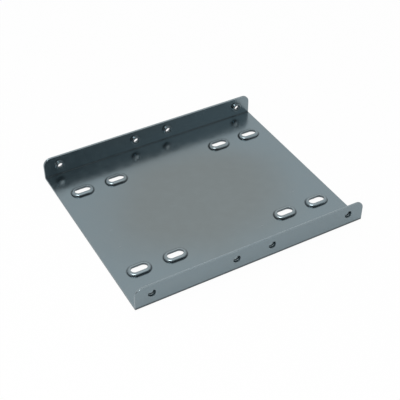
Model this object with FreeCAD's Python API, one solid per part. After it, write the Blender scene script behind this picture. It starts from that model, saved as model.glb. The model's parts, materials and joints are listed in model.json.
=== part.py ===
import FreeCAD, Part
import math
import os

from FreeCAD import Placement, Rotation, Vector

# Bracket that carries a 2.5 inch drive in a 3.5 inch bay: one sheet of steel, folded into a shallow tray.
# X runs along the two flanges, Y across the tray, Z up. The origin is the middle of the underside.

# Sheet and its folds
sheet = 1.0
bend_inside = 0.15
edge_break = 0.2

# Tray, over the outer faces
tray_length = 117.8
tray_width = 101.6
flange_height = 11.8
flange_corner = 4.0

# Bottom hole pattern of the small drive, with two positions for it along the tray
drive_pitch_x = 76.6
drive_pitch_y = 61.72
drive_shift = 9.0
drive_middle_x = 0.35
drive_middle_y = 0.6

# Slot pierced through the top of each raised boss
slot_length = 8.1
slot_width = 3.8

# Raised boss, drawn up out of the floor with a full round shoulder and a sharp foot
boss_width = 7.0
boss_rise = 1.3
boss_shoulder = 1.05

# Pocket left under each boss
boss_top_wall = 1.0
boss_side_wall = 1.0
pocket_mouth_radius = 1.0

# Side hole pattern of the large drive, as height above the underside and spacing along each flange
side_hole_height = 6.7
side_end_spacing = 101.6
side_inner_spacing = 18.4

# Screw hole in the flange, extruded inward so that it holds a thread, bored to the full width of the screw
screw_bore = 3.5
bore_chamfer = 0.25
collar_rise = 1.2
collar_root_width = 4.7
collar_tip_width = 4.5
collar_fillet = 0.25

# Flat ring of sheet left round each drawn shape, where it joins the tray
join_ring = 0.4

# Parallel edges shorter than this are one point, and a fold sharper than this angle is a sharp edge
same_point = 1e-6
sharp_angle = 60

drive_shifts = (-drive_shift, drive_shift)
side_spacings = (side_end_spacing, side_inner_spacing)

to_cross_section = Rotation(Vector(1, 1, 1), 120)
to_side_view = Rotation(Vector(1, 0, 0), 90)
half_turn = Rotation(Vector(0, 0, 1), 180)


def rounded_face(corners):
    # Flat face in XY with a radius at each corner, from a list of (x, y, radius)
    rounds = []
    for i, (x, y, radius) in enumerate(corners):
        here = Vector(x, y, 0)
        next_x, next_y, _ = corners[(i + 1) % len(corners)]
        last_x, last_y, _ = corners[i - 1]
        back = (Vector(last_x, last_y, 0) - here).normalize()
        ahead = (Vector(next_x, next_y, 0) - here).normalize()
        half_angle = back.getAngle(ahead) / 2
        reach = radius / math.tan(half_angle)
        depth = radius / math.sin(half_angle) - radius
        middle = here + (back + ahead).normalize() * depth
        rounds.append((here + back * reach, middle, here + ahead * reach, radius))
    edges = []
    for i, (start, middle, end, radius) in enumerate(rounds):
        if radius > 0:
            edges.append(Part.Arc(start, middle, end).toShape())
        following = rounds[(i + 1) % len(rounds)][0]
        if end.distanceToPoint(following) > same_point:
            edges.append(Part.makeLine(end, following))
    return Part.Face(Part.Wire(edges))


def tray_section():
    # The folded sheet seen from its end
    half = tray_width / 2
    bend_outside = bend_inside + sheet
    return rounded_face([
        (-half, flange_height, 0),
        (-half, 0, bend_outside),
        (half, 0, bend_outside),
        (half, flange_height, 0),
        (half - sheet, flange_height, 0),
        (half - sheet, sheet, bend_inside),
        (-half + sheet, sheet, bend_inside),
        (-half + sheet, flange_height, 0),
    ])


def side_view():
    # The tray seen from its side, which rounds the upper corners of both flanges
    half = tray_length / 2
    return rounded_face([
        (-half, 0, 0),
        (half, 0, 0),
        (half, flange_height, flange_corner),
        (-half, flange_height, flange_corner),
    ])


def outward(face, point):
    # Normal of a face at the point of it nearest to the given one
    u, v = face.Surface.parameter(point)
    return face.normalAt(u, v)


def sharp_edges(solid):
    # Edges where two faces meet at an angle, and not those where a flat runs on into a curve
    found = []
    for edge in solid.Edges:
        middle = edge.valueAt((edge.FirstParameter + edge.LastParameter) / 2)
        sides = solid.ancestorsOfType(edge, Part.Face)
        turn = outward(sides[0], middle).getAngle(outward(sides[1], middle))
        if math.degrees(turn) > sharp_angle:
            found.append(edge)
    return found


def folded_sheet():
    # The blank after folding, with the cut edges broken all round
    fold = tray_section().extrude(Vector(0, 0, tray_length))
    fold.Placement = Placement(Vector(-tray_length / 2, 0, 0), to_cross_section)
    trim = side_view().extrude(Vector(0, 0, tray_width))
    trim.Placement = Placement(Vector(0, tray_width / 2, 0), to_side_view)
    blank = fold.common(trim).removeSplitter().Solids[0]
    return blank.makeFillet(edge_break, sharp_edges(blank))


def obround(length, width, height):
    # Upright block with round ends, its long side along X and its foot at Z = 0
    reach = length / 2
    ends = width / 2
    outline = rounded_face([
        (-reach, -ends, ends),
        (reach, -ends, ends),
        (reach, ends, ends),
        (-reach, ends, ends),
    ])
    return outline.extrude(Vector(0, 0, height))


def boss_join():
    # Distance from the middle line of a boss to the flat floor beyond its mouth
    return boss_width / 2 - boss_side_wall + pocket_mouth_radius + join_ring


def boss_section():
    # Sheet of the boss cut across, as distance from its middle line and height
    top = sheet + boss_rise
    ceiling = top - boss_top_wall
    side = boss_width / 2
    pocket_side = side - boss_side_wall
    return rounded_face([
        (boss_join(), 0, 0),
        (pocket_side, 0, pocket_mouth_radius),
        (pocket_side, ceiling, 0),
        (slot_width / 2, ceiling, 0),
        (slot_width / 2, top, 0),
        (side, top, boss_shoulder),
        (side, sheet, 0),
        (boss_join(), sheet, 0),
    ])


def boss():
    # The section swept round the slot: straight along the sides, turned about each end
    reach = (slot_length - slot_width) / 2
    section = boss_section()
    section.Placement = Placement(Vector(reach, 0, 0), to_cross_section)
    side = section.extrude(Vector(-2 * reach, 0, 0))
    end = section.revolve(Vector(reach, 0, 0), Vector(0, 0, 1), -180)
    half = side.fuse(end)
    other = half.copy()
    other.Placement = Placement(Vector(), half_turn)
    return half.fuse(other)


def boss_opening():
    # Hole in the flat floor that a boss fills
    return obround(slot_length - slot_width + 2 * boss_join(), 2 * boss_join(), sheet)


def collar_join():
    # Radius at which an extruded hole meets the flat flange
    return collar_root_width / 2 + collar_fillet + join_ring


def collar():
    # Extruded screw hole, turned about Y, with its entry face at Y = 0 and its tip inward
    tip = sheet + collar_rise
    section = rounded_face([
        (collar_join(), 0, 0),
        (screw_bore / 2 + bore_chamfer, 0, 0),
        (screw_bore / 2, bore_chamfer, 0),
        (screw_bore / 2, tip, 0),
        (collar_tip_width / 2, tip, 0),
        (collar_root_width / 2, sheet, collar_fillet),
        (collar_join(), sheet, 0),
    ])
    return section.revolve(Vector(), Vector(0, 1, 0), 360)


def collar_opening():
    # Hole in the flat flange that a collar fills
    return Part.makeCylinder(collar_join(), sheet, Vector(), Vector(0, 1, 0))


def boss_places():
    # Two drive positions share the pattern, one moved each way from its middle
    places = []
    for shift in drive_shifts:
        for x in (-drive_pitch_x / 2, drive_pitch_x / 2):
            for y in (-drive_pitch_y / 2, drive_pitch_y / 2):
                place = Vector(drive_middle_x + shift + x, drive_middle_y + y, 0)
                places.append(Placement(place, Rotation()))
    return places


def collar_places():
    # The same four holes in each flange, each with its entry on the outer face
    places = []
    for spacing in side_spacings:
        for x in (-spacing / 2, spacing / 2):
            places.append(Placement(Vector(x, -tray_width / 2, side_hole_height), Rotation()))
            places.append(Placement(Vector(x, tray_width / 2, side_hole_height), half_turn))
    return places


def placed(shape, places):
    # One copy of a shape at each place
    copies = []
    for place in places:
        copy = shape.copy()
        copy.Placement = place.multiply(copy.Placement)
        copies.append(copy)
    return copies


def bracket():
    openings = placed(boss_opening(), boss_places()) + placed(collar_opening(), collar_places())
    drawn = placed(boss(), boss_places()) + placed(collar(), collar_places())
    tray = folded_sheet().cut(openings)
    return tray.fuse(drawn).removeSplitter().Solids[0]


os.makedirs("parts", exist_ok=True)
bracket().exportStep("parts/bracket.step")
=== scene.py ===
import json
import math

import bpy
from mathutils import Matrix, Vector


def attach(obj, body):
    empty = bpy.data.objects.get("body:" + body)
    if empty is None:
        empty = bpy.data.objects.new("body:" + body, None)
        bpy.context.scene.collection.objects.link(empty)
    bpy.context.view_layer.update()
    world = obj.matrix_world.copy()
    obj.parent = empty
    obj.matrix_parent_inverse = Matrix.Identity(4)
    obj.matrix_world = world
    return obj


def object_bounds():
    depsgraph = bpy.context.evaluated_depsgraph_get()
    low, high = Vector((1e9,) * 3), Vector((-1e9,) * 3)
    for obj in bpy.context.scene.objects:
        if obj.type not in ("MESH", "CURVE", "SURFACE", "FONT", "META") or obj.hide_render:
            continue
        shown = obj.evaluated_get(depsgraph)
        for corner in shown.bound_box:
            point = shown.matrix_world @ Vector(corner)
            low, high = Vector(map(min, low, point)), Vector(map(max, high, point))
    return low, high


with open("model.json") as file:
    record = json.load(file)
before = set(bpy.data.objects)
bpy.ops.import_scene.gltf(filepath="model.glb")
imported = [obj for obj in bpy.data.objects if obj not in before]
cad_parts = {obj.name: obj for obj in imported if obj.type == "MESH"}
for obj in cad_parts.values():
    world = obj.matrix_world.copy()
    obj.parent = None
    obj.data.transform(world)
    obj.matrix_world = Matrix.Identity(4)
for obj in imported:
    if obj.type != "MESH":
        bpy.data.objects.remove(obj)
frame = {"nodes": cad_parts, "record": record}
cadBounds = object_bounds()
print("frame loaded")

mm = 0.001  # the frame is in metres, sizes here are written in millimetres
smoothly = {"interpolation_type": "SMOOTHSTEP"}


def node(tree, kind, inputs=(), **settings):
    # adds one shader node with its settings, and fills its inputs, in order or by name or number, from values,
    # from sockets, or from the first output of other nodes
    made = tree.nodes.new("ShaderNode" + kind)
    for name, value in settings.items():
        setattr(made, name, value)
    entries = inputs.items() if isinstance(inputs, dict) else enumerate(inputs)
    for place, value in entries:
        if isinstance(value, bpy.types.Node):
            value = value.outputs[0]
        if isinstance(value, bpy.types.NodeSocket):
            tree.links.new(value, made.inputs[place])
        else:
            made.inputs[place].default_value = value
    return made


def hexColour(text):
    # sRGB hex to the linear values that Blender's sockets take
    channels = [int(text[i:i + 2], 16) / 255 for i in (1, 3, 5)]
    return [c / 12.92 if c <= 0.04045 else ((c + 0.055) / 1.055) ** 2.4 for c in channels] + [1.0]


def blankMaterial(name):
    material = bpy.data.materials.new(name)
    material.use_nodes = True
    material.node_tree.nodes.clear()
    return material, material.node_tree


# Slots of the floor and side holes of the flanges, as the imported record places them, in millimetres

driveSlots = [mount for mount in frame["record"]["mounts"] if mount["name"].startswith("drive_slots")]
slotSizes = driveSlots[0]["dims"]
slotMiddle = [sum(mount["pos_m"][i] for mount in driveSlots) / len(driveSlots) / mm for i in (0, 1)]
slotShift = abs(driveSlots[0]["pos_m"][0] / mm - slotMiddle[0])
slotRadius = slotSizes["hole_r_mm"]
slotStraight = slotSizes["slot_length_mm"] / 2 - slotRadius
slotReachX = slotSizes["spacing_x_mm"] / 2
slotReachY = slotSizes["spacing_y_mm"] / 2

sideHoles = [mount for mount in frame["record"]["mounts"] if mount["name"].startswith("side_screws")]
holeHeight = sideHoles[0]["pos_m"][2] / mm
holeRadius = sideHoles[0]["dims"]["hole_r_mm"]
innerReach, outerReach = sorted({mount["dims"]["spacing_x_mm"] / 2 for mount in sideHoles})

endReach = cadBounds[1][0] / mm     # the ends and the outer faces of the flanges, from the middle of the tray
sideReach = cadBounds[1][1] / mm


# Screw threads, cut in the extruded holes of the flanges for the screws that hold a large drive in its bay

thread = {
    "pitch": 25.4 / 32,       # a 6-32 thread, with 32 turns to the inch
    "crestRadius": 1.3,
    "rootWidth": 0.69,
    "crestWidth": 0.18,
    "start": 0.35,            # distance in from the outer face, past the chamfer
    "end": 2.18,
    "fade": 0.3,              # share of a turn over which the ridge comes up to its height
    "beginFront": 311,        # where the tap first bit in each row of holes, in degrees
    "beginBack": 212,
    "sliver": 0.004,          # width left to the ridge where the inner end of the hole cuts it off
    "sunk": 0.03,             # its foot lies this deep in the wall of the hole
    "stepsPerTurn": 48,
}


def threadPlaces():
    # outer end and inward direction of each hole
    places = []
    for mount in sideHoles:
        half = mount["dims"]["spacing_x_mm"] * mm / 2
        for side in (-half, half):
            places.append((Vector(mount["pos_m"]) + Vector((side, 0, 0)), -Vector(mount["axis"])))
    return places


def threadRidge(entry, inward):
    # right-hand helix of one trapezoid section, in metres, which fades in past the chamfer and is cut off at the
    # inner end of the hole
    across = Vector((1, 0, 0))
    aside = inward.cross(across)
    rootHalf, crestHalf = thread["rootWidth"] / 2, thread["crestWidth"] / 2
    lead = thread["start"] + rootHalf
    turns = (thread["end"] + rootHalf - lead) / thread["pitch"]
    steps = round(turns * thread["stepsPerTurn"])
    begin = math.radians(thread["beginFront" if inward.y > 0 else "beginBack"])
    foot = holeRadius + thread["sunk"]
    points = []
    for i in range(steps + 1):
        turn = turns * i / steps
        angle = begin + 2 * math.pi * turn
        outward = across * math.cos(angle) + aside * math.sin(angle)
        middle = lead + thread["pitch"] * turn
        left = (thread["end"] - middle + rootHalf) / (rootHalf - crestHalf)
        crest = foot + (thread["crestRadius"] - foot) * min(1, turn / thread["fade"], left)
        section = ((foot, -rootHalf), (crest, -crestHalf), (crest, crestHalf), (foot, rootHalf))
        for k, (radius, shift) in enumerate(section):
            along = min(middle + shift, thread["end"] - thread["sliver"] * (3 - k))
            points.append(entry + (outward * radius + inward * along) * mm)
    faces = []
    for i in range(steps):
        for k in range(4):
            a, b = 4 * i + k, 4 * i + (k + 1) % 4
            faces.append((a, b, b + 4, a + 4))
    return points, faces


def makeThreads(material):
    for number, (entry, inward) in enumerate(threadPlaces(), 1):
        points, faces = threadRidge(entry, inward)
        mesh = bpy.data.meshes.new(f"screwThread{number}")
        mesh.from_pydata(points, [], faces)
        mesh.materials.append(material)
        ridge = bpy.data.objects.new(f"screwThread{number}", mesh)
        bpy.context.scene.collection.objects.link(ridge)
        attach(ridge, "root")


# Zinc plated steel sheet

zincSteel = {
    "sheet": 1.0,
    "middle": "#7e8687",          # the clear passivation film is nearly neutral where it drains thin
    "rim": "#818f95",             # and shows a faint blue towards the outline of the sheet, where it stays thicker
    "filmReach": (60, 50),        # how far out from the middle, along the sheet and across it
    "filmGrows": (0.6, 1.22),     # shares of that reach between which the blue comes in
    "filmPatch": 38,
    "filmDrift": 0.35,            # how far slow patches move that border
    "pale": "#8a9497",
    "paleShare": 0.3,
    "palePatches": (0.35, 0.7),   # levels of the mottle and of the rolling lines between which the zinc turns pale
    "paleLines": (0.2, 0.8),
    "mottlePatch": 5,
    "rollingLength": 26,          # rolling lines run along the flanges, and real ones are too fine to show
    "rollingWidth": 0.5,
    "rollingHeight": 0.0011,
    "grain": 0.3,                 # also coarser than the real grain of the plating, so that it shows
    "grainHeight": 0.0006,
    "roughSteps": 0.55,           # how much each finer step of the patches counts
    "smooth": 0.2,
    "dull": 0.26,
    "lineDullness": 0.015,
    "satinLevels": (0.3, 0.7),    # levels of the mottle and of the lines between which the sheet turns dull
    "bareEdge": "#c9d0d2",        # bright bare steel where handling rubs the plating off the edges
    "edgeReach": 0.45,
    "edgeOpen": (0.92, 0.7),      # shares of steel within that reach between which it wears: a flat face has 1
    "edgeSoftness": 0.2,
    "rolledShare": 0.12,          # the burr side of each cut edge is rubbed most, and its rolled side this much
    "burrBlend": 0.1,
    "croppedShare": 0.3,          # the ends of the sheet, cropped clean
    "croppedReach": (1.2, 0.6),   # distances from the end between which that comes in
    "backShare": 0.3,             # the back flange, which is handled less than the front one
    "wearPatch": 2.2,
    "wearGrows": (0.2, 0.45),
    "oil": "#15191b",             # painted shade, darkening tight corners
    "oilShare": 0.62,
    "cornerReach": 0.7,
    "cornerOpen": (0.96, 0.74),   # shares of open air within that reach between which the painted shade comes in
    "stretched": "#525b5e",       # painted shade along the outside of the folds at the foot of the flanges, standing in for the shadow they reflect
    "foldHeight": (1.9, 1.33),    # heights between which it comes in
    "foldBlend": 0.3,
    "sheared": "#6a757a",         # walls of the pierced slots
    "slotWall": (0.1, 0.02),      # distances from the wall between which its colour comes in
    "shearedReach": 0.35,         # and out to which its edge stays unworn
    "polished": "#8d999e",        # tops of the bosses, where a drive has slid, and crests of the threads
    "polishShare": 0.5,
    "landHeight": (2.2, 2.28),    # heights between which the polish comes in
    "landReach": (1.5, 1.1),      # and distances from the slot
    "cutSteel": "#3a484e",        # the threads are cut after plating, so their steel is bare; its dark tone is painted shade inside the bores
    "cutRoughness": 0.38,
    "boreBlend": (0.06, 0.02),    # distances beyond the bore and the crest between which each finish comes in
    "crestBlend": (0.2, 0.05),
}


def folded(tree, place, steps):
    # folds an even pattern about its middle, one step after another, until all its members lie on one
    for step in steps:
        mirrored = node(tree, "VectorMath", (place,), operation="ABSOLUTE")
        place = node(tree, "VectorMath", (mirrored, step), operation="SUBTRACT")
    return place


def fromScrewHoles(tree, place):
    # distance from the axis of the nearest screw hole
    above = node(tree, "VectorMath", (place, (0, 0, holeHeight)), operation="SUBTRACT")
    side = node(tree, "VectorMath", (above, (1, 0, 1)), operation="MULTIPLY")
    nearest = folded(tree, side, (
        ((outerReach + innerReach) / 2, 0, 0),
        ((outerReach - innerReach) / 2, 0, 0)))
    return node(tree, "VectorMath", (nearest,), operation="LENGTH").outputs["Value"]


def besideSlots(tree, place):
    # distance of a point outside the wall of the nearest slot, seen from above, negative within it
    fromMiddle = node(tree, "VectorMath", (place, (*slotMiddle, 0)), operation="SUBTRACT")
    above = node(tree, "VectorMath", (fromMiddle, (1, 1, 0)), operation="MULTIPLY")
    nearest = folded(tree, above, ((slotReachX, slotReachY, 0), (slotShift, 0, 0), (slotStraight, 0, 0)))
    beyond = node(tree, "VectorMath", (nearest, (0, 0, 0)), operation="MAXIMUM")
    distance = node(tree, "VectorMath", (beyond,), operation="LENGTH").outputs["Value"]
    return node(tree, "Math", (distance, slotRadius), operation="SUBTRACT")


def handling(tree, place):
    # how much each place is rubbed: the blank was cut from below, so its burr, which is rubbed most, is on the upper
    # face of the floor and on the inner faces of the flanges
    evened = node(tree, "VectorMath", (place,), operation="ABSOLUTE")
    endwards, sidewards, up = node(tree, "SeparateXYZ", (evened,)).outputs
    half, margin = zincSteel["sheet"] / 2, zincSteel["burrBlend"]
    flange = sideReach - half
    inner = node(tree, "MapRange", (sidewards, flange + margin, flange - margin), **smoothly)
    upper = node(tree, "MapRange", (up, half - margin, half + margin), **smoothly)
    burrSide = node(tree, "Math", (inner, upper), operation="MULTIPLY")
    burr = node(tree, "MapRange", (burrSide, 0.0, 1.0, zincSteel["rolledShare"], 1.0))
    cropped = node(tree, "MapRange", (
        endwards, *(endReach - reach for reach in zincSteel["croppedReach"]), 1.0, zincSteel["croppedShare"],
    ), **smoothly)
    backwards = node(tree, "SeparateXYZ", (place,)).outputs["Y"]
    back = node(tree, "MapRange", (backwards, 0.0, slotReachY, 1.0, zincSteel["backShare"]), **smoothly)
    places = node(tree, "Math", (cropped, back), operation="MULTIPLY")
    return node(tree, "Math", (burr, places), operation="MULTIPLY")


def outsideOfFolds(tree, place):
    # 1 along the lower outer edge of both flanges, where the painted shade of the folds goes
    evened = node(tree, "VectorMath", (place,), operation="ABSOLUTE")
    _, sidewards, up = node(tree, "SeparateXYZ", (evened,)).outputs
    inside = sideReach - zincSteel["sheet"]
    low = node(tree, "MapRange", (up, *zincSteel["foldHeight"]), **smoothly)
    outer = node(tree, "MapRange", (sidewards, inside, inside + zincSteel["foldBlend"]), **smoothly)
    return node(tree, "Math", (low, outer), operation="MULTIPLY")


def filmThickness(tree, place, patches):
    # 0 in the middle of the sheet to 1 at its outline, with slow drifts in between
    reachX, reachY = zincSteel["filmReach"]
    outward = node(tree, "VectorMath", (place, (1 / reachX, 1 / reachY, 0)), operation="MULTIPLY")
    distance = node(tree, "VectorMath", (outward,), operation="LENGTH").outputs["Value"]
    drifted = node(tree, "Math", (patches, zincSteel["filmDrift"], distance), operation="MULTIPLY_ADD")
    return node(tree, "MapRange", (drifted, *zincSteel["filmGrows"]), **smoothly)


def zincPlatedSteel():
    # Cold rolled sheet, blanked and folded, electroplated with zinc and passivated: a satin grey with a cool cast,
    # faint rolling lines and rubbed edges, with painted shade in the tight corners, along the foot of the folds and
    # in the bores
    material, tree = blankMaterial("electrogalvanisedSheetSteel")
    inMetres = node(tree, "TexCoord").outputs["Object"]
    place = node(tree, "VectorMath", (inMetres, (1 / mm, 1 / mm, 1 / mm)), operation="MULTIPLY")
    along = node(tree, "VectorMath", (place, (
        zincSteel["rollingWidth"] / zincSteel["rollingLength"], 1, 1)), operation="MULTIPLY")
    rolling, mottle, grain, wearPatches, filmPatches = [
        node(tree, "TexNoise", {
            "Vector": vector, "Scale": 1 / zincSteel[size], "Detail": detail, "Roughness": zincSteel["roughSteps"]})
        for vector, size, detail in (
            (along, "rollingWidth", 3), (place, "mottlePatch", 3), (place, "grain", 2),
            (place, "wearPatch", 2), (place, "filmPatch", 1))]

    # where handling has rubbed the plating off the edges, and painted shade in the corners, where little open air is
    # near
    solidWithin = node(tree, "AmbientOcclusion", {"Distance": zincSteel["edgeReach"] * mm}, samples=8, inside=True)
    edge = node(tree, "MapRange", (solidWithin.outputs["AO"], *zincSteel["edgeOpen"]), **smoothly)
    patchy = node(tree, "MapRange", (wearPatches, *zincSteel["wearGrows"]), **smoothly)
    rubbed = node(tree, "Math", (patchy, handling(tree, place)), operation="MULTIPLY")
    rubbedEdge = node(tree, "Math", (edge, rubbed), operation="MULTIPLY")
    fromSlot = besideSlots(tree, place)
    clear = node(tree, "MapRange", (fromSlot, zincSteel["slotWall"][0], zincSteel["shearedReach"]), **smoothly)
    wear = node(tree, "Math", (rubbedEdge, clear), operation="MULTIPLY")
    openWithin = node(tree, "AmbientOcclusion", {"Distance": zincSteel["cornerReach"] * mm}, samples=8)
    corner = node(tree, "MapRange", (
        openWithin.outputs["AO"], *zincSteel["cornerOpen"], 0.0, zincSteel["oilShare"]), **smoothly)

    # walls of the slots, tops of the bosses, and bores, painted dark as shade, with the crests of their threads
    slotWall = node(tree, "MapRange", (fromSlot, *zincSteel["slotWall"]), **smoothly)
    height = node(tree, "SeparateXYZ", (place,)).outputs["Z"]
    raised = node(tree, "MapRange", (height, *zincSteel["landHeight"]), **smoothly)
    nearSlot = node(tree, "MapRange", (fromSlot, *zincSteel["landReach"], 0.0, zincSteel["polishShare"]), **smoothly)
    land = node(tree, "Math", (raised, nearSlot), operation="MULTIPLY")
    slid = node(tree, "Math", (land, rubbed), operation="MULTIPLY")
    fromAxis = fromScrewHoles(tree, place)
    shadedBore, crest = [
        node(tree, "MapRange", (fromAxis, *(radius + width for width in zincSteel[blend])), **smoothly)
        for radius, blend in ((holeRadius, "boreBlend"), (thread["crestRadius"], "crestBlend"))]

    # paler patches, drawn out along the rolling lines
    patch = node(tree, "MapRange", (mottle, *zincSteel["palePatches"]), **smoothly)
    line = node(tree, "MapRange", (rolling, *zincSteel["paleLines"], 0.0, zincSteel["paleShare"]), **smoothly)
    paler = node(tree, "Math", (patch, line), operation="MULTIPLY")

    # bare cut steel of the bores, painted dark as shade, between the polished crests of the threads
    cut = node(tree, "Mix", {
        0: crest, 6: hexColour(zincSteel["cutSteel"]), 7: hexColour(zincSteel["polished"])}, data_type="RGBA")
    colour = hexColour(zincSteel["middle"])
    for share, over in (
            (filmThickness(tree, place, filmPatches), hexColour(zincSteel["rim"])),
            (paler, hexColour(zincSteel["pale"])),
            (slid, hexColour(zincSteel["polished"])),
            # painted shade along the foot of the flanges
            (outsideOfFolds(tree, place), hexColour(zincSteel["stretched"])),
            (slotWall, hexColour(zincSteel["sheared"])),
            (wear, hexColour(zincSteel["bareEdge"])),
            # painted shade: darker in tight corners, where the occlusion is higher
            (corner, hexColour(zincSteel["oil"])),
            # painted shade inside the bores
            (shadedBore, cut.outputs[2])):
        colour = node(tree, "Mix", {0: share, 6: colour, 7: over}, data_type="RGBA").outputs[2]

    satin = node(tree, "MapRange", (
        mottle, *zincSteel["satinLevels"], zincSteel["smooth"], zincSteel["dull"]), **smoothly)
    uneven = node(tree, "MapRange", (
        rolling, *zincSteel["satinLevels"], -zincSteel["lineDullness"], zincSteel["lineDullness"]), **smoothly)
    lined = node(tree, "Math", (satin, uneven), operation="ADD")
    roughness = node(tree, "Mix", {0: shadedBore, 2: lined, 3: zincSteel["cutRoughness"]})

    softened = node(tree, "Bevel", {"Radius": zincSteel["edgeSoftness"] * mm}, samples=6)
    lines = node(tree, "Bump", {
        "Height": rolling, "Distance": zincSteel["rollingHeight"] * mm, "Normal": softened})
    relief = node(tree, "Bump", {
        "Height": grain, "Distance": zincSteel["grainHeight"] * mm, "Normal": lines})

    shader = node(tree, "BsdfPrincipled", {
        "Base Color": colour,
        "Metallic": 1.0,
        "Roughness": roughness,
        "Normal": relief,
    })
    node(tree, "OutputMaterial", {"Surface": shader})
    return material


bracket = frame["nodes"]["bracket"]
bracket.data.materials.clear()
bracket.data.materials.append(zincPlatedSteel())
print("bracket finished in zinc plated steel")

makeThreads(bracket.data.materials[0])
print("threads cut in the side holes")


# Floor, studio and camera

studio = {
    "floorSize": 3000,
    "floorDrop": 0.05,
    "floorColour": "#e9e9e9",
    "floorShown": 0.95,       # share of plain white that the camera sees in the table
    "floorMirrored": 0.12,    # and that metal sees, so that the shade under the tray shows in its reflections
    "white": "#ffffff",
    "worldLevel": 0.6,
    "wallFoot": 0.6,          # brightness of the studio wall at its foot, which grows to white higher up
    "wallTop": 0.8,           # sine of the height at which it is fully white
    "unlitTowards": (-0.375, -0.927),   # the unlit side of the studio, behind the camera
    "unlitInner": 38,         # degrees to each side at which it starts to fade, and at which it ends
    "unlitOuter": 49,
    "unlitBottom": 0.62,      # sines of the heights between which it ends
    "unlitTop": 0.74,
    "unlitLevel": 0.38,       # for a face that reflects that side straight, so that no view loses the sheet
    "unlitInFolds": 0.0,      # for a face that shows it by way of a second one, in the folds and round the bosses
    "foldDepth": 2.5,         # a reflection in one face has a ray depth of 2 in the world, and by way of two it has 3
    "brightTowards": (0.75, 0.66),      # the wall is a little brighter towards its right
    "brightGrows": (0.75, 1.0),
    "brightFrom": 0.93,
    "overhead": {"direction": (0, 0, 1), "distance": 1000, "size": (900, 900), "power": 1.0},
    "keyLamp": {"direction": (-0.464, -0.367, 0.803), "distance": 900, "size": (560, 240), "power": 4.2},
}


def floorMaterial():
    # Matt white table: part of it glows for the rays that see the studio, and the rest takes the shadow
    material, tree = blankMaterial("mattWhiteTable")
    path = node(tree, "LightPath").outputs
    matt = node(tree, "BsdfDiffuse", {"Color": hexColour(studio["floorColour"])})
    glow = node(tree, "Emission", {"Strength": 1.0})
    straight = node(tree, "Math", (path["Is Camera Ray"], path["Is Transmission Ray"]), operation="MAXIMUM")
    shown = node(tree, "Math", (straight, studio["floorShown"]), operation="MULTIPLY")
    mirrored = node(tree, "Math", (path["Is Glossy Ray"], studio["floorMirrored"]), operation="MULTIPLY")
    share = node(tree, "Math", (shown, mirrored), operation="MAXIMUM")
    mixed = node(tree, "MixShader", (share, matt, glow))
    node(tree, "OutputMaterial", {"Surface": mixed})
    return material


def makeFloor():
    half = studio["floorSize"] * mm / 2
    z = -studio["floorDrop"] * mm
    mesh = bpy.data.meshes.new("floor")
    mesh.from_pydata([(-half, -half, z), (half, -half, z), (half, half, z), (-half, half, z)], [], [(0, 1, 2, 3)])
    mesh.materials.append(floorMaterial())
    floor = bpy.data.objects.new("floor", mesh)
    bpy.context.scene.collection.objects.link(floor)


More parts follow.
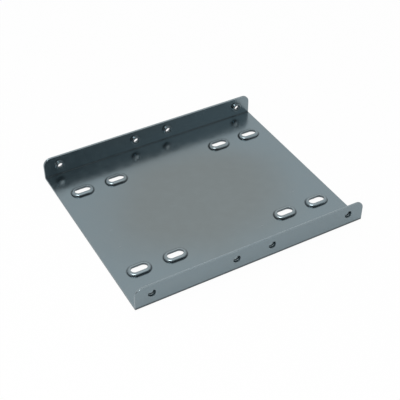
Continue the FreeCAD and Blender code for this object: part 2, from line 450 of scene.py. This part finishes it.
def makeWorld():
    # White studio to look at, with one unlit side for metal to mirror, and a softer level of white to light by
    world = bpy.data.worlds.new("whiteStudio")
    world.use_nodes = True
    world.node_tree.nodes.clear()
    tree = world.node_tree
    path = node(tree, "LightPath").outputs
    direction = node(tree, "TexCoord").outputs["Generated"]
    height = node(tree, "SeparateXYZ", (direction,)).outputs["Z"]
    flattened = node(tree, "VectorMath", (direction, (1, 1, 0)), operation="MULTIPLY")
    compass = node(tree, "VectorMath", (flattened,), operation="NORMALIZE")
    unlitwards, brightwards = [
        node(tree, "VectorMath", (compass, (*studio[side], 0)), operation="DOT_PRODUCT").outputs["Value"]
        for side in ("unlitTowards", "brightTowards")]

    # the unlit side, which is darker still for a reflection that reaches it by way of a second face
    fades = [math.cos(math.radians(studio[edge])) for edge in ("unlitOuter", "unlitInner")]
    side = node(tree, "MapRange", (unlitwards, *fades), **smoothly)
    below = node(tree, "MapRange", (height, studio["unlitTop"], studio["unlitBottom"]), **smoothly)
    sector = node(tree, "Math", (side, below), operation="MULTIPLY")
    throughFold = node(tree, "Math", (path["Ray Depth"], studio["foldDepth"]), operation="GREATER_THAN")
    darkest = node(tree, "MapRange", (throughFold, 0.0, 1.0, studio["unlitLevel"], studio["unlitInFolds"]))
    unlit = node(tree, "MapRange", (sector, 0.0, 1.0, 1.0, darkest))

    # the wall round it
    rising = node(tree, "MapRange", (height, 0.0, studio["wallTop"], studio["wallFoot"], 1.0), **smoothly)
    brighter = node(tree, "MapRange", (
        brightwards, *studio["brightGrows"], studio["brightFrom"], 1.0), **smoothly)
    wall = node(tree, "Math", (rising, brighter), operation="MULTIPLY")
    mirrored = node(tree, "Math", (wall, unlit), operation="MULTIPLY")
    level = node(tree, "Math", (mirrored, path["Is Camera Ray"]), operation="MAXIMUM")

    straight = node(tree, "Math", (path["Is Camera Ray"], path["Is Glossy Ray"]), operation="MAXIMUM")
    seen = node(tree, "Math", (straight, path["Is Transmission Ray"]), operation="MAXIMUM")
    soft = node(tree, "Background", {"Color": hexColour(studio["white"]), "Strength": studio["worldLevel"]})
    white = node(tree, "Background", {"Color": hexColour(studio["white"]), "Strength": level})
    mixed = node(tree, "MixShader", (seen, soft, white))
    node(tree, "OutputWorld", {"Surface": mixed})
    bpy.context.scene.world = world


def makeSoftbox(name, direction, distance, size, power):
    # soft lamp with a rectangular face, aimed at the middle of the bracket
    light = bpy.data.lights.new(name, "AREA")
    light.shape = "RECTANGLE"
    light.size, light.size_y = size[0] * mm, size[1] * mm
    light.energy = power
    towards = Vector(direction).normalized()
    lamp = bpy.data.objects.new(name, light)
    lamp.location = towards * distance * mm
    lamp.rotation_mode = "QUATERNION"
    lamp.rotation_quaternion = towards.to_track_quat("Z", "Y")
    bpy.context.scene.collection.objects.link(lamp)


photoView = {
    "azimuth": -29.395,       # degrees from straight in front, fitted to the edges and holes of the photograph
    "elevation": 40.388,
    "distance": 427.506,
    "target": (0.123, -1.134, 0),
    "focalPixels": 886.238,
    "framePixels": 400,
    "nearest": 10,
}


def makeCamera():
    azimuth = math.radians(photoView["azimuth"])
    elevation = math.radians(photoView["elevation"])
    back = Vector((math.sin(azimuth) * math.cos(elevation),
                   -math.cos(azimuth) * math.cos(elevation),
                   math.sin(elevation)))
    lens = bpy.data.cameras.new("photoCamera")
    lens.lens = photoView["focalPixels"] / photoView["framePixels"] * lens.sensor_width
    lens.clip_start = photoView["nearest"] * mm
    camera = bpy.data.objects.new("photoCamera", lens)
    camera.location = Vector(photoView["target"]) * mm + back * photoView["distance"] * mm
    camera.rotation_mode = "QUATERNION"
    camera.rotation_quaternion = (-back).to_track_quat("-Z", "Y")
    bpy.context.scene.collection.objects.link(camera)
    bpy.context.scene.camera = camera


makeFloor()
makeWorld()
makeSoftbox("overhead", **studio["overhead"])
makeSoftbox("keyLamp", **studio["keyLamp"])
makeCamera()
bpy.context.scene.view_settings.view_transform = "Standard"
print("studio and camera set")
